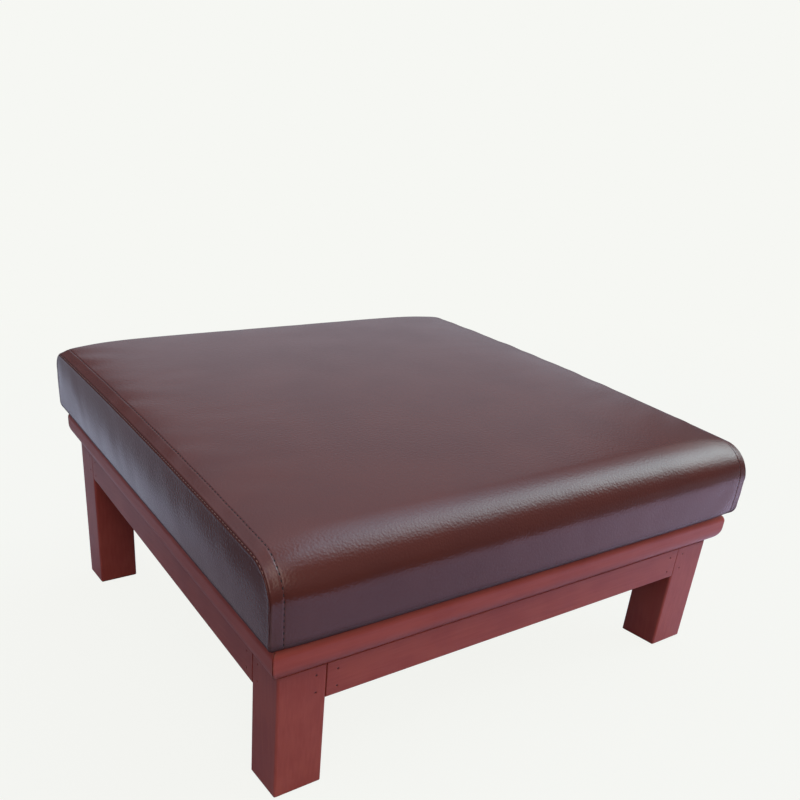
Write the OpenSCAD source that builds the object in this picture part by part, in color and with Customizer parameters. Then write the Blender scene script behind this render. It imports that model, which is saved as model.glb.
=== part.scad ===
// Padded prayer stool: a square painted wood frame with a seat that slopes down to the
// front, and an upholstered cushion screwed onto it. Millimetres, +Z up, front towards -Y.
// Everything but the feet is drawn square to the seat, then tilted as one.

/* [Frame] */
// Width of the frame over the legs, left to right
frame_w = 465; // [380:1:600]
// Depth of the frame over the legs, front to back
frame_d = 465; // [380:1:600]
// Slope of the seat, rising to the back, in degrees
seat_tilt = 6.5; // [0:0.5:10]
// Length of a front leg below the aprons, on its front face
front_leg_drop = 81; // [40:1:160]
// Side of the square legs
leg_w = 40; // [32:1:50]
// Rounding of the legs' long edges
leg_round = 2; // [0.5:0.5:4]
// Chamfer round the feet
foot_chamfer = 1.5; // [0.5:0.5:4]

/* [Aprons] */
// Height of the aprons
apron_h = 31; // [24:1:60]
// Thickness of the aprons
apron_t = 20; // [16:1:25]
// Rounding of the aprons' lower edges
apron_round = 1.5; // [0.5:0.5:3]
// Length of the tenons
tenon_l = 18; // [12:1:21]
// Thickness of the tenons
tenon_t = 9; // [6:1:10]
// Height left above and below the tenons
tenon_shoulder = 3; // [2:1:6]
// Length along the apron of the square blocks glued into the inner corners
block_l = 20; // [15:1:30]

/* [Rim] */
// Height of the moulded rim rails
rim_t = 31; // [26:1:40]
// How far the rim stands out past the legs
rim_overhang = 9; // [4:1:14]
// How far the rim reaches in past the legs
rim_inside = 6; // [3:1:12]
// Radius of the rim's lower moulding
rim_low_r = 16; // [12:1:17]
// Radius of the rim's upper edge
rim_top_r = 8; // [3:1:9]
// Open line at each mitre
mitre_gap = 0.4; // [0.1:0.1:0.8]
// Diameter of the dowels across the mitres
dowel_d = 8; // [6:1:10]
// Length of the dowels across the mitres
dowel_l = 28; // [20:1:30]
// Distance between the two dowels of a mitre
dowel_pitch = 36; // [28:1:40]

/* [Cushion] */
// How far the cushion's seams stand out past the legs at the sides
cushion_out_x = 14.5; // [11:0.5:20]
// How far the cushion stands out past the legs at the front and back
cushion_out_y = 13.5; // [11:0.5:20]
// Height of the cushion at the seam, where the top turns down to the front
cushion_edge_h = 65.5; // [50:0.5:90]
// Rise of the seam from there to the middle of the side
seam_rise = 3; // [0:1:12]
// Rise of the centre panel above the seams
crown_rise = 11.5; // [0:0.5:20]
// Part of that rise which the middle of the top has to itself
crown_dome = 2; // [0:1:6]
// Radius of the front shoulder at the seams
front_seam_r = 28; // [15:1:40]
// Radius of the front shoulder in the middle
front_crown_r = 38; // [30:1:45]
// Radius of the back shoulder
back_shoulder_r = 20; // [12:1:40]
// How full the panels stay towards their seams: 2 is an even curve, 7 nearly flat with round edges
fullness = 7; // [2:0.5:9]
// How far the front, back and side faces swell out in the middle
face_swell = 3; // [0:0.5:6]
// Radius that the cover turns under the seat board with
turn_under_r = 9; // [6:1:12]
// Distance of the topstitching from the seam
topstitch_in = 10; // [8:1:15]
// Part of the centre panel's swell that the slanted strip beside the seam takes
strip_share = 0.3; // [0:0.05:0.5]
// Height of the strip between the seam and the topstitching
strip_rise = 0.5; // [0:0.1:1.2]
// Depth of the channel that the topstitching pulls in
stitch_channel = 1; // [0.3:0.1:1.5]
// Thickness of the cover
cover_t = 1.2; // [0.8:0.1:2]
// Width of the cover stapled under the seat board
turn_under_w = 32; // [25:1:36]
// Thickness of the firm foam above the seat board
foam_core_h = 30; // [20:1:36]

/* [Board and fixings] */
// Thickness of the plywood seat board
board_t = 12; // [9:1:15]
// Shank diameter of the wood screws
screw_d = 4; // [3:0.5:5]
// Length of the screws from the rim into the legs
rim_screw_l = 55; // [40:1:60]
// Length of the screws from the rim up into the seat board
board_screw_l = 38; // [35:1:40]
// Distance of the board screws from the middle of each rail
board_screw_at = 150; // [100:1:155]
// Diameter of the brads
brad_d = 1.2; // [1:0.1:2]
// Length of the brads through the legs into the tenons
brad_l = 15; // [12:1:17]
// Length of the brads through the aprons into the corner blocks
block_brad_l = 30; // [26:1:36]
// Depth of the brads' heads below the wood's face
brad_sunk = 0.5; // [0.2:0.1:1]
// Distance of the brads from the joints
brad_from_joint = 9; // [6:1:11]
// Width of a staple's crown
staple_w = 10; // [6:1:12]
// Thickness of the staple wire
staple_wire = 0.7; // [0.5:0.1:0.9]
// Length of a staple's legs
staple_l = 8; // [6:1:9]
// Largest distance between staples
staple_pitch = 40; // [25:1:60]
// How far the staples press into the cover
staple_sunk = 0.2; // [0.1:0.1:0.3]
// Thickness of the dust cloth under the seat board
dust_cloth_t = 0.6; // [0.3:0.1:0.8]
// Distance of the dust cloth from the end of the turned-under cover
dust_cloth_gap = 10; // [4:1:30]

/* [Hidden] */

wood_colour = "#7f413e";
raw_wood_colour = "#c9a377";
leather_colour = "#52302a";
foam_colour = "#e8dfae";
steel_colour = "#9a9a9a";
cloth_colour = "#1d1b1b";

// Clearances: glued and driven fits, and soft pieces from their neighbours
joint_fit = 0.1;
soft_gap = 0.3;
$fn = 48;
past = 1;

// Levels square to the seat, from the aprons' lower edges
half_w = frame_w / 2;
half_d = frame_d / 2;
rim_z = apron_h;
seat_z = rim_z + rim_t;
board_z = seat_z + cover_t;
foam_z = board_z + board_t;
edge_z = seat_z + cushion_edge_h;

// Floor under the tilted seat: the legs' front faces end front_leg_drop below the aprons
lift = half_d * sin(seat_tilt) + front_leg_drop * cos(seat_tilt);
function floor_z(y) = -(lift + y * sin(seat_tilt)) / cos(seat_tilt);

// Rim section, from the legs' outer faces outwards
rim_w = rim_inside + leg_w + rim_overhang;

// Seam lines of the cushion, and where its cover ends under the board
seam_x = half_w + cushion_out_x;
seam_y = half_d + cushion_out_y;
board_half_x = seam_x - turn_under_r - past;
board_half_y = seam_y - turn_under_r - past;

// Steps along the cushion's outline
turn_steps = 4;
face_steps = 2;
shoulder_steps = 7;
top_steps = 8;

// Share of the middle's swell left at a share s of the way out to the seam
function swell(s) = 1 - pow(abs(s), fullness);
// The same for the centre panel, where the slanted strip beside the seam takes part of it
function centre_swell(s) = strip_share * min(seam_x * (1 - abs(s)) / topstitch_in, 1)
    + (1 - strip_share) * swell(s);

// Height of the topstitched strip beside the seam: a low ridge, then the stitch channel
stitch_w = 0.4;
function strip(d) = abs(d - topstitch_in) < stitch_w ? -stitch_channel
    : d < topstitch_in ? strip_rise * sin(180 * d / topstitch_in) : 0;

// Radii of the front and back shoulders, how far the faces stand out, and the top's height at
// its ends, at a share s of the seam's distance from the middle and drawn in by inset
function front_r(s, inset) = front_seam_r + (front_crown_r - front_seam_r) * centre_swell(s) - inset;
function back_r(inset) = back_shoulder_r - inset;
function face_y(s, inset) = seam_y + face_swell * centre_swell(s) - inset;
function end_z(s, inset, up) = edge_z + (crown_rise - crown_dome) * centre_swell(s) + up - inset;

// Outline of the cushion at such a share, from the end of the turned-under cover at the front,
// up the front, over the top and down the back.
// Each point is [y, z, how far it lies in under the board].
function outline_half(s, inset, up, r) =
    let(out_y = face_y(s, inset),
        top_z = end_z(s, inset, up),
        low_z = seat_z + inset,
        turn = turn_under_r - inset)
    concat(
        [[-(seam_y - turn_under_r - turn_under_w), low_z, turn_under_r + turn_under_w - inset]],
        [for (i = [0:turn_steps]) let(a = 90 * i / turn_steps)
            [-(seam_y - turn_under_r) - (out_y - seam_y + turn_under_r) * sin(a),
             low_z + turn * (1 - cos(a)), (turn_under_r - inset) * (1 - sin(a))]],
        [for (i = [1:face_steps]) let(k = i / (face_steps + 1))
            [-out_y, low_z + turn + (top_z - r - low_z - turn) * k, 0]],
        [for (i = [0:shoulder_steps]) let(a = 90 * i / shoulder_steps)
            [-out_y + r * (1 - cos(a)), top_z - r + r * sin(a), 0]]);
function outline_top(s, inset, up) =
    let(front_y = front_r(s, inset) - face_y(s, inset),
        back_y = face_y(s, inset) - back_r(inset))
    [for (i = [1:top_steps - 1]) let(k = i / top_steps)
        [front_y + (back_y - front_y) * k,
         end_z(s, inset, up) + (seam_rise + crown_dome * centre_swell(s)) * 4 * k * (1 - k), 0]];
function mirrored(points) = [for (i = [len(points) - 1:-1:0]) [-points[i][0], points[i][1], points[i][2]]];
function outline(s, inset, up = 0) = concat(outline_half(s, inset, up, front_r(s, inset)),
    outline_top(s, inset, up), mirrored(outline_half(s, inset, up, back_r(inset))));

// Distances from the left seam at which the centre panel has its rows of points, closer
// together towards the seams
past_stitches = 5;
strip_rows = [0, topstitch_in / 2, topstitch_in, topstitch_in + past_stitches];
middle_rows = 7;
function row_distances(end_x) = concat(strip_rows,
    [for (i = [1:middle_rows - 1]) let(k = (1 - cos(180 * i / middle_rows)) / 2)
        strip_rows[3] + (2 * end_x - 2 * strip_rows[3]) * k],
    [for (i = [3:-1:0]) 2 * end_x - strip_rows[i]]);

// Surface of the centre panel: rows of points across the stool
function centre_rows(end_x, inset) =
    [for (d = row_distances(end_x)) let(s = (d - end_x) / seam_x, in = min(d, 2 * end_x - d))
        [for (p = outline(s, inset, strip(in))) [(d - end_x) * (end_x - p[2]) / end_x, p[0], p[1]]]];

// Triangles over a grid of rows x cols points that starts at point first
function grid_faces(rows, cols, first, turned) =
    [for (i = [0:rows - 2], j = [0:cols - 2])
        let(a = first + i * cols + j, b = a + 1, c = a + cols, e = c + 1)
        each (turned ? [[a, c, b], [b, c, e]] : [[a, b, c], [b, e, c]])];

// Triangles that close the border between a grid and the grid behind it
function border_faces(rows, cols, turned) =
    let(n = rows * cols,
        loop = concat([for (j = [0:cols - 2]) j], [for (i = [0:rows - 2]) i * cols + cols - 1],
            [for (j = [cols - 1:-1:1]) (rows - 1) * cols + j], [for (i = [rows - 1:-1:1]) i * cols]),
        m = len(loop))
    [for (i = [0:m - 1]) let(a = loop[i], b = loop[(i + 1) % m])
        each (turned ? [[a, b, a + n], [b, b + n, a + n]] : [[a, a + n, b], [b, a + n, b + n]])];

// Thin shell between an outer and an inner grid of points
module shell(outer, inner, turned) {
    rows = len(outer);
    cols = len(outer[0]);
    polyhedron(points = concat([for (row = outer) each row], [for (row = inner) each row]),
        faces = concat(grid_faces(rows, cols, 0, turned), grid_faces(rows, cols, rows * cols, !turned),
            border_faces(rows, cols, turned)));
}

// Foremost and rearmost points of the whole stool once it is tilted, which centre it
function tilted_y(y, z) = y * cos(seat_tilt) - z * sin(seat_tilt);
reach = concat([for (row = centre_rows(seam_x - cover_t, 0)) each [for (p = row) tilted_y(p[1], p[2])]],
    [tilted_y(half_d, floor_z(half_d)), tilted_y(-half_d, floor_z(-half_d))]);
shift_y = -(min(reach) + max(reach)) / 2;

// Puts what is drawn square to the seat onto the floor
module seated() {
    translate([0, shift_y, lift]) rotate([seat_tilt, 0, 0]) children();
}

// Square post with rounded long edges
module rounded_post(w, d, r, h) {
    translate([r, 0, 0]) cube([w - 2 * r, d, h]);
    translate([0, r, 0]) cube([w, d - 2 * r, h]);
    for (x = [r, w - r], y = [r, d - r]) translate([x, y, 0]) cylinder(r = r, h = h);
}

// Countersunk wood screw pointing up, its head flush at z = 0
head_r = screw_d;
head_h = screw_d * 0.9;
module screw(length, fit = 0) {
    translate([0, 0, -fit]) cylinder(r1 = head_r + fit, r2 = screw_d / 2 + fit, h = head_h);
    cylinder(r = screw_d / 2 + fit, h = length + fit);
}

// Rim screws go down through the ends of the rails into the legs, either side of the mitre,
// with a wall of wood between them and the tenons
screw_wall = 3.5;
rim_screw_in = (apron_t + tenon_t) / 2 + screw_d / 2 + screw_wall;
rim_screw_along = rim_screw_in + 2 * screw_d;
module rim_screw_set(fit = 0) {
    for (sx = [-1, 1], sy = [-1, 1], in = [[rim_screw_in, rim_screw_along], [rim_screw_along, rim_screw_in]])
        translate([sx * (half_w - in[0]), sy * (half_d - in[1]), seat_z])
            rotate([180, 0, 0]) screw(rim_screw_l, fit);
}

// Board screws go up from under the rim, between the aprons and the rim's inner edge
board_screw_in = (leg_w + rim_inside - apron_t) / 2 + apron_t;
module board_screw_set(fit = 0) {
    for (side = [-1, 1], end = [-1, 1]) {
        translate([end * board_screw_at, side * (half_d - board_screw_in), rim_z]) screw(board_screw_l, fit);
        translate([side * (half_w - board_screw_in), end * board_screw_at, rim_z]) screw(board_screw_l, fit);
    }
}

// Dowels lie square across each mitre, a little above the middle of the rails
dowel_z = rim_z + rim_t * 0.55;
dowel_mid_in = (leg_w + rim_inside - rim_overhang) / 2;
module dowel_set(fit = 0) {
    for (sx = [-1, 1], sy = [-1, 1], k = [-0.5, 0.5]) {
        in = dowel_mid_in + k * dowel_pitch / sqrt(2);
        translate([sx * (half_w - in), sy * (half_d - in), dowel_z])
            rotate([0, 0, sx * sy * -45]) rotate([90, 0, 0])
            cylinder(r = dowel_d / 2 + fit, h = dowel_l + 2 * fit, center = true);
    }
}

// Brads through the legs' faces into the tenons, and through the aprons into the blocks.
// With a fit it is the hole that the brad's head leaves open at the wood's face.
brad_head_d = brad_d * 1.4;
module brad(length, fit = 0) {
    translate([0, brad_sunk, 0]) rotate([-90, 0, 0]) {
        cylinder(r = brad_d / 2 + fit, h = length + fit);
        translate([0, 0, fit > 0 ? -brad_sunk - past : 0])
            cylinder(r = brad_head_d / 2 + fit, h = brad_d / 2 + (fit > 0 ? brad_sunk + past + fit : 0));
    }
}
module brads_of_side(half_a, half_b, fit) {
    for (end = [-1, 1], z = [apron_h * 0.25, apron_h * 0.75]) {
        joint = half_a - leg_w;
        translate([end * (joint + brad_from_joint), -half_b, z]) brad(brad_l, fit);
        translate([end * (joint - brad_from_joint), -half_b, z]) brad(block_brad_l, fit);
    }
}
module brad_set(fit = 0) {
    for (turn = [0, 180]) {
        rotate([0, 0, turn]) brads_of_side(half_w, half_d, fit);
        rotate([0, 0, turn + 90]) brads_of_side(half_d, half_w, fit);
    }
}

// Tenon block at an apron's end, or its mortise when fit is given
module tenon(fit = 0) {
    translate([-tenon_l - fit, (apron_t - tenon_t) / 2 - fit, tenon_shoulder - fit])
        cube([tenon_l + fit + (fit > 0 ? past : 0), tenon_t + 2 * fit, apron_h - 2 * tenon_shoulder + 2 * fit]);
}

// Leg at the corner on side sx, sy, its foot cut to the floor
module leg(sx, sy) {
    bottom = floor_z(half_d) - leg_w;
    color(wood_colour) difference() {
        seated() difference() {
            mirror([sx > 0 ? 1 : 0, 0, 0]) mirror([0, sy > 0 ? 1 : 0, 0])
                translate([-half_w, -half_d, 0]) difference() {
                    translate([0, 0, bottom]) rounded_post(leg_w, leg_w, leg_round, rim_z - bottom);
                    translate([leg_w, 0, 0]) tenon(joint_fit);
                    translate([0, leg_w, 0]) mirror([1, -1, 0]) tenon(joint_fit);
                }
            rim_screw_set(joint_fit);
            brad_set(joint_fit);
        }
        translate([0, 0, -frame_w]) cube(2 * frame_w, center = true);
        foot_edges(sx, sy);
    }
}

// Wedges that chamfer the four edges of one foot on the floor
module foot_edges(sx, sy) {
    far = sy * half_d;
    near = sy * (half_d - leg_w);
    y0 = shift_y + min(tilted_y(far, floor_z(far)), tilted_y(near, floor_z(near)));
    y1 = shift_y + max(tilted_y(far, floor_z(far)), tilted_y(near, floor_z(near)));
    x0 = min(sx * half_w, sx * (half_w - leg_w));
    side = foot_chamfer * sqrt(2);
    for (x = [x0, x0 + leg_w]) translate([x, (y0 + y1) / 2, 0]) rotate([0, 45, 0])
        cube([side, 2 * leg_w, side], center = true);
    for (y = [y0, y1]) translate([x0 + leg_w / 2, y, 0]) rotate([45, 0, 0])
        cube([2 * leg_w, side, side], center = true);
}

// Apron between two legs, outer face towards -Y, with a tenon at each end
module apron(half_a, half_b) {
    length = 2 * (half_a - leg_w);
    translate([-length / 2, -half_b, 0]) {
        translate([0, apron_round, 0]) cube([length, apron_t - 2 * apron_round, apron_h]);
        translate([0, 0, apron_round]) cube([length, apron_t, apron_h - apron_round]);
        for (y = [apron_round, apron_t - apron_round]) translate([0, y, apron_round])
            rotate([0, 90, 0]) cylinder(r = apron_round, h = length);
        tenon();
        translate([length, 0, 0]) mirror([1, 0, 0]) tenon();
    }
}
module apron_along(turn, half_a, half_b) {
    color(wood_colour) seated() difference() {
        rotate([0, 0, turn]) apron(half_a, half_b);
        brad_set(joint_fit);
    }
}

// Moulded section of the rim, outwards to +X from the legs' outer face
module rim_section() {
    low_x = rim_overhang - rim_low_r;
    top_x = rim_overhang - rim_top_r;
    translate([-(rim_w - rim_overhang), 0]) square([rim_w - rim_low_r, rim_t]);
    intersection() {
        translate([low_x, rim_low_r]) circle(r = rim_low_r);
        translate([low_x, 0]) square([rim_low_r, rim_low_r]);
    }
    translate([low_x, rim_low_r]) square([top_x - low_x, rim_t - rim_low_r]);
    translate([low_x, rim_low_r]) square([rim_low_r, rim_t - rim_low_r - rim_top_r]);
    translate([top_x, rim_t - rim_top_r]) intersection() {
        circle(r = rim_top_r);
        square(rim_top_r);
    }
}

// Rail of the rim with mitred ends, outer edge towards -Y
module rim_rail(half_a, half_b) {
    half_l = half_a + rim_overhang;
    difference() {
        translate([half_l, -half_b, rim_z]) rotate([90, 0, -90]) linear_extrude(2 * half_l) rim_section();
        for (end = [-1, 1]) translate([end * (half_l - mitre_gap * sqrt(2) / 2), -(half_b + rim_overhang), 0])
            rotate([0, 0, end * 45]) translate([end > 0 ? 0 : -3 * rim_w, -rim_w, rim_z - past])
            cube([3 * rim_w, 4 * rim_w, rim_t + 2 * past]);
    }
}
module rim_along(turn, half_a, half_b) {
    color(wood_colour) seated() difference() {
        rotate([0, 0, turn]) rim_rail(half_a, half_b);
        dowel_set(joint_fit);
        rim_screw_set(joint_fit);
        board_screw_set(joint_fit);
    }
}

// Two square blocks glued into the inner corners beside one leg
module corner_blocks(sx, sy) {
    side = leg_w - apron_t;
    color(wood_colour) seated() difference() {
        mirror([sx > 0 ? 1 : 0, 0, 0]) mirror([0, sy > 0 ? 1 : 0, 0]) translate([-half_w, -half_d, 0]) {
            translate([leg_w, apron_t, 0]) cube([block_l, side, apron_h]);
            translate([apron_t, leg_w, 0]) cube([side, block_l, apron_h]);
        }
        brad_set(joint_fit);
    }
}

// Staples round the turned-under cover, crown across the edge's direction
staple_in = turn_under_w / 2 + turn_under_r;
module staple(fit = 0) {
    w = staple_w + 2 * fit;
    wire = staple_wire + 2 * fit;
    translate([-w / 2, -wire / 2, 0]) cube([w, wire, staple_wire + fit]);
    for (x = [-w / 2, w / 2 - wire]) translate([x, -wire / 2, 0]) cube([wire, wire, staple_l + fit]);
}
module staples_of_side(half_a, half_b, fit) {
    span = 2 * (half_a - staple_in - staple_w);
    n = ceil(span / staple_pitch);
    for (i = [0:n]) translate([-span / 2 + span * i / n, -(half_b - staple_in), seat_z + staple_sunk]) staple(fit);
}
module staple_set(fit = 0) {
    for (turn = [0, 180]) {
        rotate([0, 0, turn]) staples_of_side(seam_x, seam_y, fit);
        rotate([0, 0, turn + 90]) staples_of_side(seam_y, seam_x, fit);
    }
}
// Slots that let the staples through the cover
module staple_slots() {
    translate([0, 0, -past]) staple_set(joint_fit);
    staple_set(joint_fit);
}

module seat_board() {
    color(raw_wood_colour) seated() difference() {
        translate([-board_half_x, -board_half_y, board_z]) cube([2 * board_half_x, 2 * board_half_y, board_t]);
        staple_set(joint_fit);
        board_screw_set(joint_fit);
    }
}

// Space inside the cover, from under the board's level up to the crown, in the cover's own rows
module stuffing() {
    inset = cover_t + soft_gap;
    end_x = seam_x - inset;
    grid = [for (d = row_distances(end_x)) let(x = d - end_x, up = min(0, strip(min(d, 2 * end_x - d))))
        [for (p = outline(x / seam_x, inset, up)) if (p[2] <= turn_under_r)
            [x * (end_x - p[2]) / end_x, p[0], p[1]]]];
    rows = len(grid);
    cols = len(grid[0]);
    polyhedron(points = [for (row = grid) each row],
        faces = concat(grid_faces(rows, cols, 0, false),
            [for (i = [0:rows - 2]) let(a = i * cols, b = a + cols, c = b - 1, e = c + cols)
                each [[a, b, c], [b, e, c]]],
            [for (j = [1:cols - 2]) [0, j, j + 1]],
            [for (j = [1:cols - 2]) let(o = (rows - 1) * cols) [o, o + j + 1, o + j]]));
}
core_top_z = foam_z + soft_gap + foam_core_h;
module foam_core() {
    color(foam_colour) seated() difference() {
        intersection() {
            stuffing();
            translate([-frame_w, -frame_d, 0]) cube([2 * frame_w, 2 * frame_d, core_top_z]);
        }
        translate([-board_half_x - soft_gap, -board_half_y - soft_gap, 0])
            cube([2 * (board_half_x + soft_gap), 2 * (board_half_y + soft_gap), foam_z + soft_gap]);
    }
}
module foam_crown() {
    color(foam_colour) seated() intersection() {
        stuffing();
        translate([-frame_w, -frame_d, core_top_z + soft_gap]) cube([2 * frame_w, 2 * frame_d, frame_w]);
    }
}

// Panel over the front, top and back, turned under the board at both ends
module cover_centre() {
    end_x = seam_x - cover_t;
    color(leather_colour) seated() difference() {
        shell(centre_rows(end_x, 0), centre_rows(end_x, cover_t), false);
        staple_slots();
    }
}

// Side panel: columns from the seam down, then turned under the board
panel_steps = 5;
function side_columns(inset) =
    let(seam = outline(1, inset), first = turn_steps + face_steps + 2,
        low_z = seat_z + inset, turn = turn_under_r - inset, face_z = low_z + turn)
    [for (i = [first:len(seam) - 1 - first]) let(y = seam[i][0], z = seam[i][1])
        concat(
            [for (k = [0:panel_steps]) let(s = k / panel_steps)
                [seam_x - inset + face_swell * sin(180 * s) * swell(y / seam_y), y, z + (face_z - z) * s]],
            [for (k = [1:turn_steps]) let(a = 90 * k / turn_steps, in = turn_under_r * (1 - cos(a)))
                [seam_x - turn_under_r + turn * cos(a), y * (seam_y - in) / seam_y, face_z - turn * sin(a)]],
            [let(in = turn_under_r + turn_under_w)
                [seam_x - in, y * (seam_y - in) / seam_y, low_z]])];
module cover_side() {
    color(leather_colour) seated() difference() {
        shell(side_columns(0), side_columns(cover_t), false);
        staple_slots();
    }
}

// Dust cloth closes the underside inside the turned-under cover
module dust_cloth() {
    in = turn_under_r + turn_under_w + dust_cloth_gap;
    color(cloth_colour) seated() translate([-(seam_x - in), -(seam_y - in), board_z - dust_cloth_t])
        cube([2 * (seam_x - in), 2 * (seam_y - in), dust_cloth_t]);
}

module leg_front_left() leg(-1, -1);
module leg_front_right() leg(1, -1);
module leg_back_left() leg(-1, 1);
module leg_back_right() leg(1, 1);
module apron_front() apron_along(0, half_w, half_d);
module apron_back() apron_along(180, half_w, half_d);
module apron_left() apron_along(-90, half_d, half_w);
module apron_right() apron_along(90, half_d, half_w);
module rim_front() rim_along(0, half_w, half_d);
module rim_back() rim_along(180, half_w, half_d);
module rim_left() rim_along(-90, half_d, half_w);
module rim_right() rim_along(90, half_d, half_w);
module corner_blocks_front_left() corner_blocks(-1, -1);
module corner_blocks_front_right() corner_blocks(1, -1);
module corner_blocks_back_left() corner_blocks(-1, 1);
module corner_blocks_back_right() corner_blocks(1, 1);
module mitre_dowels() { color(raw_wood_colour) seated() dowel_set(); }
module joint_brads() { color(steel_colour) seated() brad_set(); }
module rim_screws() { color(steel_colour) seated() rim_screw_set(); }
module board_screws() { color(steel_colour) seated() board_screw_set(); }
module cover_staples() { color(steel_colour) seated() staple_set(); }
module cover_side_left() { mirror([1, 0, 0]) cover_side(); }
module cover_side_right() { cover_side(); }

leg_front_left();
leg_front_right();
leg_back_left();
leg_back_right();
apron_front();
apron_back();
apron_left();
apron_right();
rim_front();
rim_back();
rim_left();
rim_right();
corner_blocks_front_left();
corner_blocks_front_right();
corner_blocks_back_left();
corner_blocks_back_right();
mitre_dowels();
joint_brads();
rim_screws();
board_screws();
seat_board();
foam_core();
foam_crown();
cover_centre();
cover_side_left();
cover_side_right();
cover_staples();
dust_cloth();
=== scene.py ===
import math

import bpy
import numpy as np
from mathutils import Matrix, Vector


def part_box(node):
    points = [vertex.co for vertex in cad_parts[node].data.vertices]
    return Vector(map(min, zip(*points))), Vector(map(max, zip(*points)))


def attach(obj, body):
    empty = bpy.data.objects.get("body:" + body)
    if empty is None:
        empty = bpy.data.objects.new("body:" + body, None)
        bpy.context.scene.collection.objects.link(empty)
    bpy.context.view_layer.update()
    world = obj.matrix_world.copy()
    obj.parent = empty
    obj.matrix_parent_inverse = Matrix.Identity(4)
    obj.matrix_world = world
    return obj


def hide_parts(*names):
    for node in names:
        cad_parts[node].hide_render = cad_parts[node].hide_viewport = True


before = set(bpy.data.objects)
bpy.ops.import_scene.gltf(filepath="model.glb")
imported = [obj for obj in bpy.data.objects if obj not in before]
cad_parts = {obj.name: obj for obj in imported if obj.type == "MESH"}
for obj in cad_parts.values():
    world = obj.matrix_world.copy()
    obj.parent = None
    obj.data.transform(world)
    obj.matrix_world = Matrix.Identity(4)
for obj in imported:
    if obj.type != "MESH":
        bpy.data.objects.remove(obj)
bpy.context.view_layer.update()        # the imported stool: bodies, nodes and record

# The stool is drawn square to its sloping seat, in mm, and then tilted as a whole.
# Origin of that seat frame: middle of the frame, level with the aprons' lower edges.
seat = dict(
    tilt=6.5,               # degrees, rising to the back
    halfFrame=232.5,        # from the middle to the legs' outer faces
    apronHeight=31.0,
    apronThickness=20.0,
)
mm = 0.001

print("frame: place of the seat")
tilt = math.radians(seat["tilt"])
apronLow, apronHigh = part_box("apron_front")
seatShift = apronLow.y / mm + seat["halfFrame"] * math.cos(tilt) + seat["apronHeight"] * math.sin(tilt)
seatLift = (apronHigh.z / mm - (seat["apronThickness"] - seat["halfFrame"]) * math.sin(tilt)
            - seat["apronHeight"] * math.cos(tilt))


def fromSeat(points):
    # Seat frame in mm to the stool's frame in metres: turned about X by the tilt, then lifted
    points = np.asarray(points, float)
    x, y, z = points[..., 0], points[..., 1], points[..., 2]
    return mm * np.stack([x, y * math.cos(tilt) - z * math.sin(tilt) + seatShift,
                          y * math.sin(tilt) + z * math.cos(tilt) + seatLift], axis=-1)


def toSeat(points):
    # The way back: the stool's frame in metres to the seat frame in mm
    points = np.asarray(points, float) / mm
    x, y, z = points[..., 0], points[..., 1] - seatShift, points[..., 2] - seatLift
    return np.stack([x, y * math.cos(tilt) + z * math.sin(tilt),
                     z * math.cos(tilt) - y * math.sin(tilt)], axis=-1)


def linear(hexColour, alpha=1.0):
    # sRGB hex to linear colour
    values = [int(hexColour[i:i + 2], 16) / 255 for i in (1, 3, 5)]
    return tuple(v / 12.92 if v <= 0.04045 else ((v + 0.055) / 1.055) ** 2.4 for v in values) + (alpha,)


def addNode(tree, kind, inputs=(), out=0, **settings):
    # Adds one node and returns one of its outputs. Inputs come in order or by name: a socket is
    # linked, anything else is set as a value.
    node = tree.nodes.new("ShaderNode" + kind)
    for key, value in settings.items():
        setattr(node, key, value)
    for key, value in (inputs.items() if isinstance(inputs, dict) else enumerate(inputs)):
        if isinstance(value, bpy.types.NodeSocket):
            tree.links.new(value, node.inputs[key])
        else:
            node.inputs[key].default_value = value
    return node.outputs[out] if node.outputs else None


# A Map Range node set to a smooth step takes value, start, end, and then what it gives at both
smooth = dict(interpolation_type="SMOOTHSTEP")


def newMaterial(name):
    # Empty material, its node tree and its Object coordinates
    material = bpy.data.materials.new(name)
    material.use_nodes = True
    tree = material.node_tree
    tree.nodes.clear()
    return material, tree, addNode(tree, "TexCoord", out="Object")


def meshObject(name, points, faces):
    # Mesh object at the origin from points in metres and a list of faces
    mesh = bpy.data.meshes.new(name)
    mesh.from_pydata(np.asarray(points).tolist(), [], faces)
    mesh.update()
    mesh.shade_smooth()
    made = bpy.data.objects.new(name, mesh)
    bpy.context.scene.collection.objects.link(made)
    return made


print("camera")
photoCamera = dict(
    imageSide=800,                       # pixels
    focal=852.15,                        # pixels
    middle=(389.88, 510.02),             # pixel on the camera's axis
    place=(-456.41, -649.77, 405.73),    # mm in the seat frame
    azimuth=-36.215, elevation=26.729, roll=5.445,
    sensor=36.0,
)


def makeCamera():
    # Axes of the camera in the seat frame from azimuth, elevation and roll, then tilted with it
    az, el, roll = (math.radians(photoCamera[k]) for k in ("azimuth", "elevation", "roll"))
    back = Vector((math.sin(az) * math.cos(el), -math.cos(az) * math.cos(el), math.sin(el)))
    right = Vector((math.cos(az), math.sin(az), 0))
    up = back.cross(right)
    right, up = (math.cos(roll) * right + math.sin(roll) * up,
                 math.cos(roll) * up - math.sin(roll) * right)
    turn = Matrix.Rotation(tilt, 3, "X") @ Matrix((right, up, back)).transposed()
    data = bpy.data.cameras.new("camera")
    side = photoCamera["imageSide"]
    data.sensor_width = photoCamera["sensor"]
    data.lens = photoCamera["focal"] / side * photoCamera["sensor"]
    data.shift_x = (side / 2 - photoCamera["middle"][0]) / side
    data.shift_y = (photoCamera["middle"][1] - side / 2) / side
    data.clip_start, data.clip_end = 0.02, 60
    camera = bpy.data.objects.new("camera", data)
    camera.matrix_world = Matrix.Translation(Vector(fromSeat(photoCamera["place"]))) @ turn.to_4x4()
    bpy.context.scene.collection.objects.link(camera)
    bpy.context.scene.camera = camera


makeCamera()

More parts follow.
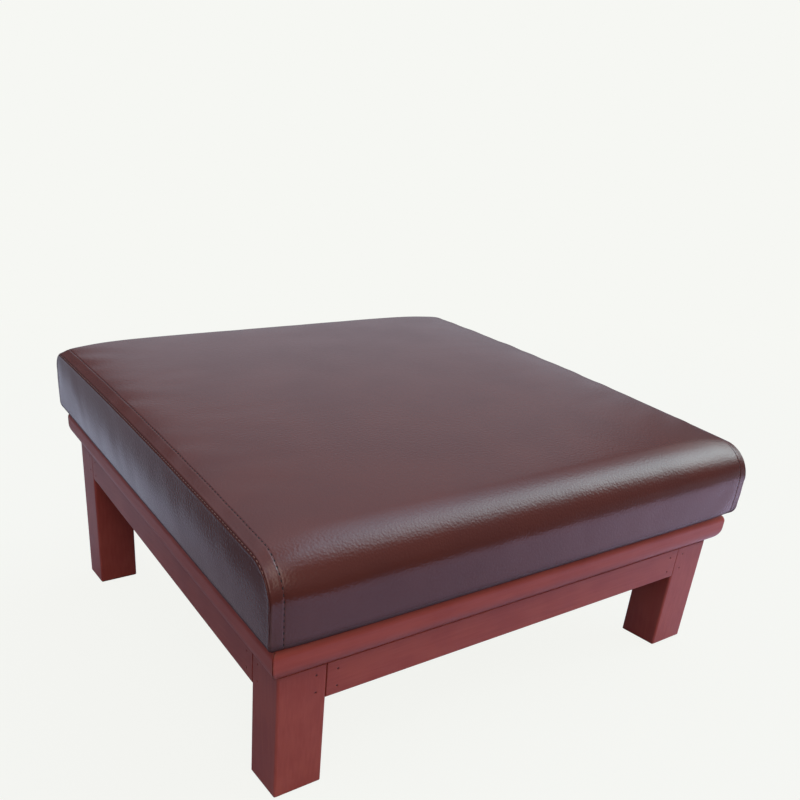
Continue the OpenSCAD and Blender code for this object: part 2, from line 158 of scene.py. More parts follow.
print("light and floor")
studio = dict(
    backdrop="#f6f7f3",        # the pale ground as the camera sees it
    floorRadius=6.0, floorPoints=96,           # metres, and points round the disc
    floorDrop=0.0006,          # metres that the floor lies under the feet
    floorColour="#f2f2ee",
    floorPlain=(0.9, 2.2),     # metres from its middle over which the floor turns into the backdrop
    shadowShare=0.05,          # how much of the light and shade on the floor the camera sees
    poolMiddle=(0.21, 0.45), pool=(0.66, 1.05),    # metres, pale ground that shows in reflections
    poolSoft=0.10,
    poolColour="#e2dfff", poolSide="#c8c9d6",      # in front of the stool, and at its left
    sideStart=-0.10, sideEnd=-0.28,                # metres, x over which one turns into the other
    poolBright=(1.3, 1.1, 1.42, 1.0),              # linear, over white: at the right, below the window
    brightStart=0.0, brightEnd=0.5,                # metres, x over which the pale ground becomes this
    darkFloor="#3c3a40", dimFloor="#a3a1a9",       # around it, at the front left and at the back right
    dimStart=-0.75, dimEnd=0.4,                    # metres, x + y over which one turns into the other
    bounceColour="#5f5a58",                        # for the light it throws back on the stool
    room="#e4e4f6",
    low=0.14, high=0.86,     # plain light of the room near the horizon and overhead
    rise=(29, 51),           # degrees of elevation over which it grows
    cut=-110.0,              # degrees, azimuth at which the full circle starts
)
# Bright patches of the room: azimuth from the front towards the right, and elevation, in degrees
roomLights = [
    dict(azimuth=(59, 97), azimuthSoft=(7, 27), elevation=(21.5, 32),
         elevationSoft=(14, 12), strength=6.8, colour="#eafcff"),
    dict(azimuth=(47.5, 87.5), azimuthSoft=(19, 17), elevation=(33, 51),
         elevationSoft=(11.5, 15.5), strength=4.3, colour="#d9f6ff"),
    dict(azimuth=(40.5, 122), azimuthSoft=(30, 40), elevation=(52, 69),
         elevationSoft=(14.5, 10), strength=2.2, colour="#b9e4ff"),
    dict(azimuth=(124, 170), azimuthSoft=(5, 7), elevation=(3, 37),
         elevationSoft=(10, 9), strength=0.46, colour="#e4efff"),
    dict(azimuth=(-32, 12), azimuthSoft=(25, 10), elevation=(14, 70),
         elevationSoft=(14, 14), strength=1.9, colour="#ffe9da"),
]


def makeRoom():
    # World: plain room light with soft-edged bright patches, and the pale backdrop for the camera
    world = bpy.data.worlds.new("room")
    bpy.context.scene.world = world
    world.use_nodes = True
    tree = world.node_tree
    tree.nodes.clear()
    direction = addNode(tree, "TexCoord", out="Generated")
    x, y, z = (addNode(tree, "SeparateXYZ", (direction,), out=axis) for axis in "XYZ")
    towards = addNode(tree, "Math", (y, -1.0), operation="MULTIPLY")
    azimuth = addNode(tree, "Math", (x, towards), operation="ARCTAN2")
    azimuth = addNode(tree, "Math", (azimuth, 180 / math.pi), operation="MULTIPLY")
    # the full circle starts at the cut, so that no patch crosses it
    behind = addNode(tree, "Math", (azimuth, studio["cut"]), operation="LESS_THAN")
    behind = addNode(tree, "Math", (behind, 360.0), operation="MULTIPLY")
    azimuth = addNode(tree, "Math", (azimuth, behind), operation="ADD")
    elevation = addNode(tree, "Math", (z,), operation="ARCSINE")
    elevation = addNode(tree, "Math", (elevation, 180 / math.pi), operation="MULTIPLY")
    level = addNode(tree, "MapRange", (elevation, *studio["rise"], studio["low"], studio["high"]), **smooth)
    colour = addNode(tree, "MixRGB", (1.0, linear(studio["room"]), level), blend_type="MULTIPLY")
    for patch in roomLights:
        mask = patch["strength"]
        for angle, side in ((azimuth, "azimuth"), (elevation, "elevation")):
            # the patch fades in at its lower end and out at its upper one
            for end, soft, ends in zip(patch[side], patch[side + "Soft"], ((0, 1), (1, 0))):
                fade = addNode(tree, "MapRange", (angle, end - soft, end + soft, *ends), **smooth)
                mask = addNode(tree, "Math", (fade, mask), operation="MULTIPLY")
        light = addNode(tree, "MixRGB", (1.0, linear(patch["colour"]), mask), blend_type="MULTIPLY")
        colour = addNode(tree, "MixRGB", (1.0, colour, light), blend_type="ADD")
    seen = addNode(tree, "LightPath", out="Is Camera Ray")
    colour = addNode(tree, "MixRGB", (seen, colour, linear(studio["backdrop"])))
    addNode(tree, "OutputWorld", (addNode(tree, "Background", (colour, 1.0)),))


def makeFloor():
    # Disc on the floor: a ring of points, one flat face
    turns = np.linspace(0, 2 * np.pi, studio["floorPoints"], endpoint=False)
    radius, drop = studio["floorRadius"], studio["floorDrop"]
    ring = np.stack([radius * np.cos(turns), radius * np.sin(turns), 0 * turns - drop], axis=-1)
    floor = meshObject("floor", ring, [list(range(len(turns)))])
    material, tree, place = newMaterial("matt pale floor")
    distance = addNode(tree, "VectorMath", (place,), out="Value", operation="LENGTH")
    byCamera, byMirror = (addNode(tree, "LightPath", out=ray) for ray in ("Is Camera Ray", "Is Glossy Ray"))
    # how far outside the pale rectangle a point lies, by the larger of its two sides
    x, y = (addNode(tree, "SeparateXYZ", (place,), out=axis) for axis in "XY")
    beyond = []
    for side, middle, half in zip((x, y), studio["poolMiddle"], studio["pool"]):
        away = addNode(tree, "Math", (side, middle), operation="SUBTRACT")
        away = addNode(tree, "Math", (away,), operation="ABSOLUTE")
        beyond.append(addNode(tree, "Math", (away, half), operation="SUBTRACT"))
    beyond = addNode(tree, "Math", (*beyond, studio["poolSoft"]), operation="SMOOTH_MAX")
    dark = addNode(tree, "MapRange", (beyond, -studio["poolSoft"] / 2, studio["poolSoft"]), **smooth)
    around = addNode(tree, "Math", (x, y), operation="ADD")
    around = addNode(tree, "MapRange", (around, studio["dimStart"], studio["dimEnd"]), **smooth)
    around = addNode(tree, "MixRGB", (around, linear(studio["darkFloor"]), linear(studio["dimFloor"])))
    left = addNode(tree, "MapRange", (x, studio["sideStart"], studio["sideEnd"]), **smooth)
    pool = addNode(tree, "MixRGB", (left, linear(studio["poolColour"]), linear(studio["poolSide"])))
    right = addNode(tree, "MapRange", (x, studio["brightStart"], studio["brightEnd"]), **smooth)
    pool = addNode(tree, "MixRGB", (right, pool, studio["poolBright"]))
    mirrored = addNode(tree, "MixRGB", (dark, pool, around))
    bounce, seen = linear(studio["bounceColour"]), linear(studio["floorColour"])
    colour = addNode(tree, "MixRGB", (byCamera, bounce, seen))
    colour = addNode(tree, "MixRGB", (byMirror, colour, mirrored))
    lit = addNode(tree, "BsdfDiffuse", (colour,))
    plain = addNode(tree, "Emission", (linear(studio["backdrop"]), 1.0))
    plainShare = (1 - studio["shadowShare"], 1.0)
    share = addNode(tree, "MapRange", (distance, *studio["floorPlain"], *plainShare), **smooth)
    share = addNode(tree, "Math", (share, byCamera), operation="MULTIPLY")
    top = addNode(tree, "MixShader", (share, lit, plain))
    # seen from below the floor lets the underside show
    under = addNode(tree, "NewGeometry", out="Backfacing")
    whole = addNode(tree, "MixShader", (under, top, addNode(tree, "BsdfTransparent")))
    addNode(tree, "OutputMaterial", (whole,))
    floor.data.materials.append(material)


makeRoom()
makeFloor()
bpy.context.scene.view_settings.view_transform = "Standard"

print("cushion: form")
cushionSizes = dict(
    seamX=247.0, seamY=246.0,        # from the middle to the side seams, and to the front and back faces
    base=62.0, edgeHeight=65.5,      # the rim's top, and the seam above it at the front
    seamRise=3.0,                    # the seam rises to the middle of the side
    crown=11.5, dome=2.0,            # rise of the middle, and the part only the middle of the top has
    frontSeam=28.0, frontCrown=38.0, back=20.0,    # radii of the shoulders
    faceSwell=3.0,
    fullness=7.0,                    # 2 is an even curve, 7 nearly flat with round edges
    strip=10.0, stripShare=0.3,      # width of the slanted strip beside the seam, and its part of the swell
    turnUnder=9.0, turnUnderWidth=32.0,
    cover=1.2, boardThickness=12.0, boardHalf=(237.0, 236.0), clearance=0.3,
    farGap=-200.0,                   # stored as the distance to the seam where there is none
)
# The points of the outline: flange and turn in equal steps, the face by shares of its height from
# the top, shoulder and top in equal steps
fineSteps = dict(flange=3, turn=5, shoulder=13, top=66,
                 face=(0, 0.022, 0.05, 0.09, 0.15, 0.23, 0.33, 0.44, 0.56, 0.68, 0.80, 0.91))
simSteps = dict(flange=3, turn=2, shoulder=6, top=58, face=(0, 0.2, 0.4, 0.6, 0.8))


def swell(share, sizes):
    # Share of the middle's swell left at a share of the way out to the seam
    return 1 - np.abs(share) ** sizes["fullness"]


def centreSwell(share, sizes):
    # The same for the centre panel, where the slanted strip beside the seam takes part of the swell
    strip = np.minimum((1 - np.abs(share)) * sizes["seamX"] / sizes["strip"], 1)
    return sizes["stripShare"] * strip + (1 - sizes["stripShare"]) * swell(share, sizes)


def outlineMarks(steps):
    # One number for each point of the outline, growing by one over each of its stretches
    faceUp = 1 - np.array(steps["face"][::-1])
    front = np.concatenate([np.arange(steps["flange"]) / steps["flange"],
                            1 + np.arange(steps["turn"]) / steps["turn"],
                            2 + np.concatenate([[0], faceUp[:-1]]),
                            3 + np.arange(steps["shoulder"] + 1) / steps["shoulder"]])
    top = 4 + np.arange(1, steps["top"]) / steps["top"]
    return np.concatenate([front, top, 9 - front[::-1]])


def outlineHalf(w, r, sizes, steps):
    # Half an outline where w of the middle's swell is left: flange, quarter turn, face and
    # quarter-circle shoulder of radius r. Returns how far out, how high and how far in under the board.
    one = np.ones_like(w)
    marks = outlineMarks(steps)
    marks = marks[:np.argmax(marks >= 4) + 1]
    turn, width, base, seamY = (sizes[k] for k in ("turnUnder", "turnUnderWidth", "base", "seamY"))
    outY = seamY + sizes["faceSwell"] * w
    topZ = base + sizes["edgeHeight"] + (sizes["crown"] - sizes["dome"]) * w
    k = marks[marks < 1][None]
    flange = ((seamY - turn - width * (1 - k)) * one, base * one + 0 * k, (turn + width * (1 - k)) * one)
    a = np.pi / 2 * (marks[(marks >= 1) & (marks < 2)] - 1)[None]
    bend = (seamY - turn + (outY - seamY + turn) * np.sin(a), base + turn * (1 - np.cos(a)) * one,
            turn * (1 - np.sin(a)) * one)
    k = (marks[(marks >= 2) & (marks < 3)] - 2)[None]
    face = (outY + 0 * k, base + turn + (topZ - r - base - turn) * k, 0 * k * one)
    a = np.pi / 2 * (marks[marks >= 3] - 3)[None]
    shoulder = (outY - r * (1 - np.cos(a)), topZ - r + r * np.sin(a), 0 * a * one)
    return [np.concatenate(parts, axis=1) for parts in zip(flange, bend, face, shoulder)]


def outlineOf(share, sizes, steps):
    # Outline of the cushion at a share of the way out to the seam: up the front, over the top as a
    # parabola between the shoulders, and down the back
    w = centreSwell(share, sizes)
    front = sizes["frontSeam"] + (sizes["frontCrown"] - sizes["frontSeam"]) * w
    out, up, inward = outlineHalf(w, front, sizes, steps)
    outBack, upBack, inwardBack = (part[:, ::-1] for part in outlineHalf(w, sizes["back"], sizes, steps))
    k = np.arange(1, steps["top"])[None] / steps["top"]
    topY = -out[:, -1:] + (outBack[:, :1] + out[:, -1:]) * k
    topZ = up[:, -1:] + (sizes["seamRise"] + sizes["dome"] * w) * 4 * k * (1 - k)
    return (np.concatenate([-out, topY, outBack], axis=1), np.concatenate([up, topZ, upBack], axis=1),
            np.concatenate([inward, 0 * topY, inwardBack], axis=1))


def cushionPanels(sizes, steps, distance):
    # Grids of points. Centre panel: rows at distances from the left seam, each the outline there.
    # Side panel: columns down from the seam, swelling as half a sine wave, then turned under.
    seamX, seamY, base, turn = (sizes[k] for k in ("seamX", "seamY", "base", "turnUnder"))
    rows = distance[:, None]
    y, z, inward = outlineOf((rows - seamX) / seamX, sizes, steps)
    centre = np.stack([(rows - seamX) * (seamX - inward) / seamX, y, z], axis=-1)
    first = steps["flange"] + steps["turn"] + len(steps["face"])
    seamLineY, seamLineZ = y[0, first:-first], z[0, first:-first]
    down = np.array(tuple(steps["face"]) + (1,))[:, None]
    bulge = sizes["faceSwell"] * np.sin(np.pi * down) * swell(seamLineY / seamY, sizes)
    faceZ = base + turn
    face = np.stack([seamX + bulge, seamLineY + 0 * down, seamLineZ + (faceZ - seamLineZ) * down], axis=-1)
    a = np.pi / 2 * np.arange(1, steps["turn"] + 1)[:, None] / steps["turn"]
    inTurn = turn * (1 - np.cos(a))
    bend = np.stack([seamX - inTurn + 0 * seamLineY, seamLineY * (seamY - inTurn) / seamY,
                     faceZ - turn * np.sin(a) + 0 * seamLineY], axis=-1)
    inFlange = turn + sizes["turnUnderWidth"] * np.arange(1, steps["flange"] + 1)[:, None] / steps["flange"]
    flange = np.stack([seamX - inFlange + 0 * seamLineY, seamLineY * (seamY - inFlange) / seamY,
                       base + 0 * inFlange + 0 * seamLineY], axis=-1)
    right = np.concatenate([face, bend, flange], axis=0)
    left = right * np.array([-1, 1, 1])
    return centre, left, right, first


def quadsOf(index, flipped=False):
    # Faces between neighbouring rows and columns of a grid of point numbers
    a, b, c, d = index[:-1, :-1], index[1:, :-1], index[1:, 1:], index[:-1, 1:]
    order = (a, d, c, b) if flipped else (a, b, c, d)
    return np.stack([q.ravel() for q in order], axis=1).tolist()


def joinPanels(shape, sideShape, first):
    # Numbers the points of the three panels so that the side panels share the seams' points
    rows, columns = shape
    centreIndex = np.arange(rows * columns).reshape(rows, columns)
    count = rows * columns
    faces = quadsOf(centreIndex)
    indexes = [centreIndex]
    for row, flipped in ((0, True), (rows - 1, False)):
        index = np.full(sideShape, -1)
        index[0] = centreIndex[row, first:columns - first]
        index[:, 0] = centreIndex[row, first::-1]
        index[:, -1] = centreIndex[row, columns - 1 - first:]
        own = index < 0
        index[own] = count + np.arange(own.sum())
        count += own.sum()
        faces += quadsOf(index, flipped)
        indexes.append(index)
    return indexes, faces, count


def gather(grids, indexes, count):
    # One list of values for the joined points, the centre panel's own at the seams
    values = np.zeros((count,) + grids[0].shape[2:])
    for grid, index in reversed(list(zip(grids, indexes))):
        values[index.ravel()] = grid.reshape((-1,) + grid.shape[2:])
    return values


def readPoints(mesh, what="co"):
    # Places of a mesh's points, or their normals
    values = np.zeros(len(mesh.vertices) * 3, np.float32)
    if what == "co":
        mesh.vertices.foreach_get("co", values)
    else:
        mesh.vertex_normals.foreach_get("vector", values)
    return values.reshape(-1, 3).astype(float)


def writePoints(mesh, points):
    mesh.vertices.foreach_set("co", np.asarray(points, np.float32).ravel())
    mesh.update()


def storeValues(mesh, name, values):
    attribute = mesh.attributes.get(name) or mesh.attributes.new(name, "FLOAT", "POINT")
    attribute.data.foreach_set("value", np.asarray(values, np.float32))


def readValues(mesh, name):
    values = np.zeros(len(mesh.vertices), np.float32)
    mesh.attributes[name].data.foreach_get("value", values)
    return values


def applyModifiers(made):
    # Puts the result of the object's modifiers into its mesh
    graph = bpy.context.evaluated_depsgraph_get()
    mesh = bpy.data.meshes.new_from_object(made.evaluated_get(graph))
    made.modifiers.clear()
    made.data = mesh
    mesh.name = made.name


def smoothStep(value, start, end):
    t = np.clip((value - start) / (end - start), 0, 1)
    return t * t * (3 - 2 * t)


def splineWeights(at, knots):
    # Rows of weights that turn values at knots into smooth values elsewhere: the cubic B-spline
    t = np.interp(at, knots, np.arange(len(knots)))
    i = np.clip(np.floor(t).astype(int), 0, len(knots) - 2)
    f = t - i
    basis = ((1 - f) ** 3 / 6, (3 * f ** 3 - 6 * f ** 2 + 4) / 6,
             (1 + 3 * f + 3 * f ** 2 - 3 * f ** 3) / 6, f ** 3 / 6)
    weights = np.zeros((len(at), len(knots)))
    for k, share in enumerate(basis):
        np.add.at(weights, (np.arange(len(at)), np.clip(i + k - 1, 0, len(knots) - 1)), share)
    return weights


stuffing = dict(
    rowStep=7.0,           # mm between the rows of the simulated cover
    crownLess=3.5, swellLess=3.5,    # the cover starts this much flatter and fills out
    pressure=4.0, frames=20, mass=0.3,
    slack=-0.012,          # the cover is cut this much larger, so that it puckers at its seams
    evenPasses=12,
    seamFade=8.0,          # mm from the seam over which the puckers grow from nothing
    puckersTop=0.1, puckersSide=0.16, cap=1.2,    # shares kept of the puckers, and their most in mm
)


def evened(values, passes):
    # Values on a grid, each pass replacing one by half itself and a quarter of both neighbours
    for _ in range(passes):
        values = values.copy()
        values[1:-1] = (values[:-2] + 2 * values[1:-1] + values[2:]) / 4
        values[:, 1:-1] = (values[:, :-2] + 2 * values[:, 1:-1] + values[:, 2:]) / 4
    return values


def simDistances():
    steps = round(2 * cushionSizes["seamX"] / stuffing["rowStep"])
    return np.linspace(0, 2 * cushionSizes["seamX"], steps + 1)


def fillCushion():
    # Cloth simulation: the cover, held at its seams and under the board, filled by pressure.
    # Returns the puckers of the three panels, in mm.
    sizes = dict(cushionSizes, crown=cushionSizes["crown"] - stuffing["crownLess"],
                 faceSwell=cushionSizes["faceSwell"] - stuffing["swellLess"])
    distance = simDistances()
    panels = cushionPanels(sizes, simSteps, distance)
    grids, first = panels[:3], panels[3]
    indexes, faces, count = joinPanels(grids[0].shape[:2], grids[1].shape[:2], first)
    start = gather(grids, indexes, count)
    cover = meshObject("cushion_fill", fromSeat(start), faces)
    under = simSteps["flange"] + simSteps["turn"]
    centre, left, right = indexes
    held = np.unique(np.concatenate([centre[[0, -1]].ravel(), centre[:, :under + 1].ravel(),
                                     centre[:, -under - 1:].ravel(), left[-under - 1:].ravel(),
                                     right[-under - 1:].ravel()]))
    group = cover.vertex_groups.new(name="held")
    group.add(held.tolist(), 1.0, "REPLACE")
    cloth = cover.modifiers.new("fill", "CLOTH")
    cloth.settings.quality = 6
    cloth.settings.mass = stuffing["mass"]
    cloth.settings.vertex_group_mass = "held"
    cloth.settings.use_pressure = True
    cloth.settings.uniform_pressure_force = stuffing["pressure"]
    cloth.settings.shrink_min = stuffing["slack"]
    cloth.settings.effector_weights.gravity = 0
    cloth.collision_settings.use_collision = False
    cloth.collision_settings.use_self_collision = False
    for number in range(1, stuffing["frames"] + 1):
        bpy.context.scene.frame_set(number)
    applyModifiers(cover)
    moved = toSeat(readPoints(cover.data)) - start
    bpy.context.scene.frame_set(1)
    bpy.data.objects.remove(cover)
    # the foam holds the cushion's form, so only the puckers are kept: the movement less the same
    # movement evened, up to a cap
    moves = []
    shares = (stuffing["puckersTop"], stuffing["puckersSide"], stuffing["puckersSide"])
    for index, share in zip(indexes, shares):
        puckers = (moved[index] - evened(moved[index], stuffing["evenPasses"])) * share
        length = np.linalg.norm(puckers, axis=-1, keepdims=True)
        print("  puckers in mm: most", round(float(length.max()), 2), "mean", round(float(length.mean()), 2))
        capped = stuffing["cap"] * (1 - np.exp(-length / stuffing["cap"]))
        moves.append(puckers * capped / np.maximum(length, 1e-6))
    return moves


reliefSizes = dict(
    topstitch=cushionSizes["strip"],    # from the seam to the topstitching
    seamDepth=0.7, seamWidth=0.55,
    roll=0.2, rollAt=1.6, rollWidth=0.9,
    strip=0.12,            # the seam allowance lies under the strip
    channel=0.35, channelWidth=0.6,
    rimClear=(0.5, 4.0),    # mm above the rim over which the relief starts
    pillow=0.5, pillowReach=9.0,
    ripple=0.32, rippleReach=24.0, rippleWaves=(37.0, 53.0, 83.0), rippleSide=0.15,
)


def seamRelief(gap, run, side, sizes):
    # Height in mm over the smooth form, from the distance to the seam. Centre panel: valley on
    # the seam, rolled edge, raised strip, sewn channel, then the padding rises as a decaying
    # exponential. Side panels: valley and roll. Both ripple along the seam as a sum of sines.
    d = np.abs(gap)
    valley = -sizes["seamDepth"] * np.exp(-(d / sizes["seamWidth"]) ** 2)
    roll = sizes["roll"] * np.exp(-((d - sizes["rollAt"]) / sizes["rollWidth"]) ** 2)
    stitch = sizes["topstitch"]
    strip = sizes["strip"] * smoothStep(d, 0, 3) * smoothStep(d, stitch, stitch - 2)
    channel = -sizes["channel"] * np.exp(-((d - stitch) / sizes["channelWidth"]) ** 2)
    pillow = -sizes["pillow"] * np.exp(-np.maximum(d - stitch, 0) / sizes["pillowReach"])
    pillow *= smoothStep(d, 0, stitch)
    waves = sum(np.sin(2 * np.pi * run / wave + side * wave + 0.11 * d) for wave in sizes["rippleWaves"])
    ripple = sizes["ripple"] / 2 * waves * np.exp(-np.abs(d - stitch) / sizes["rippleReach"])
    ripple *= smoothStep(d, 1, 6) * np.where(gap >= 0, 1, sizes["rippleSide"])
    return valley + roll + ripple + np.where(gap >= 0, strip + channel + pillow, 0)


def closeUnderside(made, sizes):
    # The turned-under cover ends in a loop of edges. The loop goes up round a pocket that holds
    # the seat board, and a flat face closes it.
    mesh = made.data
    points = toSeat(readPoints(mesh))
    loops = np.zeros(len(mesh.loops), np.int32)
    mesh.loops.foreach_get("edge_index", loops)
    ends = np.zeros(len(mesh.edges) * 2, np.int32)
    mesh.edges.foreach_get("vertices", ends)
    single = np.bincount(loops, minlength=len(mesh.edges)) == 1
    loop = np.unique(ends.reshape(-1, 2)[single])
    loop = loop[np.argsort(np.arctan2(points[loop, 1], points[loop, 0]))]
    flat = points[loop]
    reach = np.abs(flat[:, :2]).max(axis=0)
    room = (np.array(sizes["boardHalf"]) + sizes["clearance"]) / reach
    under = sizes["base"] + sizes["cover"]
    over = under + sizes["boardThickness"] + sizes["clearance"]
    rings = [np.column_stack([flat[:, :2] * scale, np.full(len(flat), z)])
             for scale, z in ((1.0, under), (room, under), (room, over))]
    index = np.concatenate([loop[None], len(points) + np.arange(3 * len(loop)).reshape(3, -1)])
    index = np.concatenate([index, index[:, :1]], axis=1)
    faces = np.zeros(len(mesh.loops), np.int32)
    mesh.loops.foreach_get("vertex_index", faces)
    faces = faces.reshape(-1, 4).tolist() + quadsOf(index) + [index[-1, -2::-1].tolist()]
    closed = meshObject("cushion", fromSeat(np.concatenate([points] + rings)), faces)
    for name in ("seamGap", "seamRun"):
        pocket = np.full(3 * len(loop), sizes["farGap"])
        storeValues(closed.data, name, np.concatenate([readValues(mesh, name), pocket]))
    bpy.data.objects.remove(made)
    return closed


def makeCushion():
    # rows of points, close together at the seam and at the topstitching, in mm from the seam
    near = np.array([0, 0.45, 0.9, 1.4, 2.1, 3, 4.2, 6, 7.6, 8.6, 9.3, 10, 10.7, 11.4, 12.5,
                     14.5, 17.5, 22, 28])
    half = np.concatenate([near, np.linspace(near[-1], cushionSizes["seamX"], 37)[1:]])
    distance = np.concatenate([half, 2 * cushionSizes["seamX"] - half[-2::-1]])
    moves = fillCushion()
    panels = cushionPanels(cushionSizes, fineSteps, distance)
    grids, first = list(panels[:3]), panels[3]
    indexes, faces, count = joinPanels(grids[0].shape[:2], grids[1].shape[:2], first)
    # distance from the nearer seam, negative on the side panels, and the way run along the outline
    centre, left, right = grids
    steps = np.linalg.norm(np.diff(centre, axis=1), axis=-1)
    run = np.concatenate([np.zeros((len(distance), 1)), np.cumsum(steps, axis=1)], axis=1)
    run -= run[:, run.shape[1] // 2][:, None]
    gap = np.minimum(distance, 2 * cushionSizes["seamX"] - distance)[:, None] + 0 * run
    seam = centre[-1]
    sideGap = -np.linalg.norm(right[:, :, None] - seam[None, None], axis=-1).min(axis=-1)
    sideRun = run[0, first:-first][None] + 0 * sideGap
    if moves:
        marks, simMarks = outlineMarks(fineSteps), outlineMarks(simSteps)
        across = splineWeights(distance, simDistances())
        along = splineWeights(marks, simMarks)
        simFirst = simSteps["flange"] + simSteps["turn"] + len(simSteps["face"])
        seamAlong = splineWeights(marks[first:-first], simMarks[simFirst:-simFirst])
        downMarks = [np.concatenate([s["face"], 1 + np.arange(s["turn"]) / s["turn"],
                                     2 + np.arange(s["flange"] + 1) / s["flange"]])
                     for s in (fineSteps, simSteps)]
        down = splineWeights(*downMarks)
        # the seam itself stays where it is
        grids[0] = centre + (np.einsum("ri,cj,ijk->rck", across, along, moves[0], optimize=True)
                             * smoothStep(gap, 0, stuffing["seamFade"])[..., None])
        for i in (1, 2):
            grids[i] = grids[i] + (np.einsum("ri,cj,ijk->rck", down, seamAlong, moves[i], optimize=True)
                                   * smoothStep(-sideGap, 0, stuffing["seamFade"])[..., None])
    made = meshObject("cushion_cover", fromSeat(gather(grids, indexes, count)), faces)
    storeValues(made.data, "seamGap", gather([gap, sideGap, sideGap], indexes, count))
    storeValues(made.data, "seamRun", gather([run, sideRun, sideRun], indexes, count))
    finer = made.modifiers.new("finer", "SUBSURF")
    finer.levels = finer.render_levels = 1
    finer.use_limit_surface = False
    applyModifiers(made)
    mesh = made.data
    gap, run, points = readValues(mesh, "seamGap"), readValues(mesh, "seamRun"), readPoints(mesh)
    height = seamRelief(gap, run, np.sign(points[:, 0]), reliefSizes)
    # nothing is raised where the cover lies on the rim
    height *= smoothStep(toSeat(points)[:, 2], *(cushionSizes["base"] + h for h in reliefSizes["rimClear"]))
    writePoints(mesh, points + mm * height[:, None] * readPoints(mesh, "normal"))
    return closeUnderside(made, cushionSizes)


cushion = makeCushion()
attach(cushion, "root")
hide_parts("cover_centre", "cover_side_left", "cover_side_right", "foam_core", "foam_crown")

print("sewing thread")
threadSizes = dict(
    topPitch=4.7, topLength=2.7, topWidth=0.55, topHeight=0.35,
    seamPitch=4.4, seamLength=2.8, seamWidth=0.5, seamHeight=0.6,
    holeWidth=2.1, holeLength=1.9, holeHeight=0.3, sunk=0.12,
    stations=7, around=6,
    onLine=0.02, above=3.0,    # how near a point lies to its line, and how far above the rim a thread ends
)


def lineOnCushion(gapValue, side):
    # The points of the cushion at one distance from a seam, in order along it, with their normals
    mesh = cushion.data
    points, normals = readPoints(mesh) / mm, readPoints(mesh, "normal")
    gap, run = readValues(mesh, "seamGap"), readValues(mesh, "seamRun")
    picked = np.nonzero((np.abs(gap - gapValue) < threadSizes["onLine"]) & (points[:, 0] * side > 0)
                        & (toSeat(points * mm)[:, 2] > cushionSizes["base"] + threadSizes["above"]))[0]
    picked = picked[np.argsort(run[picked])]
    return points[picked], normals[picked]


def beadsAlong(line, normals, pitch, first, length, width, height, sink):
    # Small beads along a line on the cushion: rings of an ellipse that grow smaller towards both
    # ends. Returns points (bead, station, around) in mm.
    steps = np.concatenate([[0], np.cumsum(np.linalg.norm(np.diff(line, axis=0), axis=1))])
    middles = np.arange(first, steps[-1] - length, pitch)
    u = np.linspace(-1, 1, threadSizes["stations"])
    at = middles[:, None] + length / 2 * u
    onLine = np.stack([np.interp(at, steps, line[:, k]) for k in range(3)], axis=-1)
    up = np.stack([np.interp(at, steps, normals[:, k]) for k in range(3)], axis=-1)
    up /= np.linalg.norm(up, axis=-1, keepdims=True)
    ahead = np.gradient(onLine, axis=1)
    ahead /= np.linalg.norm(ahead, axis=-1, keepdims=True)
    side = np.cross(ahead, up)
    size = np.sqrt(np.maximum(1 - np.abs(u) ** 3, 0.02))[None, :, None, None]
    v = np.linspace(0, 2 * np.pi, threadSizes["around"], endpoint=False)
    across = np.cos(v)[:, None] * side[:, :, None] * width / 2
    ring = across + np.sin(v)[:, None] * up[:, :, None] * height / 2
    return onLine[:, :, None] + up[:, :, None] * (height / 2 - sink) + ring * size


def beadMesh(name, sets):
    # One mesh of all the beads, with flat ends
    points = np.concatenate(sets)
    beads, stations, around = points.shape[:3]
    index = np.arange(points[..., 0].size).reshape(beads, stations, around)
    turned = np.concatenate([index, index[:, :, :1]], axis=2)
    a, b, c, d = turned[:, :-1, :-1], turned[:, :-1, 1:], turned[:, 1:, 1:], turned[:, 1:, :-1]
    faces = np.stack([q.ravel() for q in (a, b, c, d)], axis=1).tolist()
    faces += index[:, 0, ::-1].tolist() + index[:, -1].tolist()
    made = meshObject(name, mm * points.reshape(-1, 3), faces)
    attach(made, "root")
    return made


def makeThreads():
    s = threadSizes
    top = [lineOnCushion(reliefSizes["topstitch"], side) for side in (-1, 1)]
    seams = [lineOnCushion(0, side) for side in (-1, 1)]
    # stitches lie on the topstitching, with a needle hole half way between each two: a near-black bead,
    # painted shade for the hole
    stitch = (s["topPitch"], s["topPitch"], s["topLength"], s["topWidth"], s["topHeight"], s["sunk"])
    hole = (s["topPitch"], 1.5 * s["topPitch"], s["holeLength"], s["holeWidth"], s["holeHeight"], s["sunk"])
    knot = (s["seamPitch"], s["seamPitch"], s["seamLength"], s["seamWidth"], s["seamHeight"], 0.0)
    topstitches = beadMesh("topstitches", [beadsAlong(*line, *stitch) for line in top])
    holes = beadMesh("needle_hole_shade", [beadsAlong(*line, *hole) for line in top])
    seamThread = beadMesh("seam_thread", [beadsAlong(*line, *knot) for line in seams])
    return topstitches, holes, seamThread


topstitches, needleHoleShade, seamThread = makeThreads()

print("materials")
leatherSizes = dict(
    colour="#60322b", deep="#5b2f29", rimContactShade="#2a1614",
    grain=1.9,              # mm across one pebble of the embossed grain
    patch=60.0, fine=0.8,   # mm across the patches of colour and the creases between pebbles
    fineShare=0.4, grainDepth=0.11,    # height of the creases beside the pebbles', and that in mm
    roughness=(0.15, 0.21), glaze=(0.05, 0.5),    # of the patches, and at the edge and above it
    dulled=(2.5, 13.0),     # mm above the rim up to which the turned-under edge loses its glaze and is darkened by painted shade where it meets the rim
    dullRoughness=0.7, rimShadeShare=0.6,     # roughness at that edge, and share of the painted shade there
)


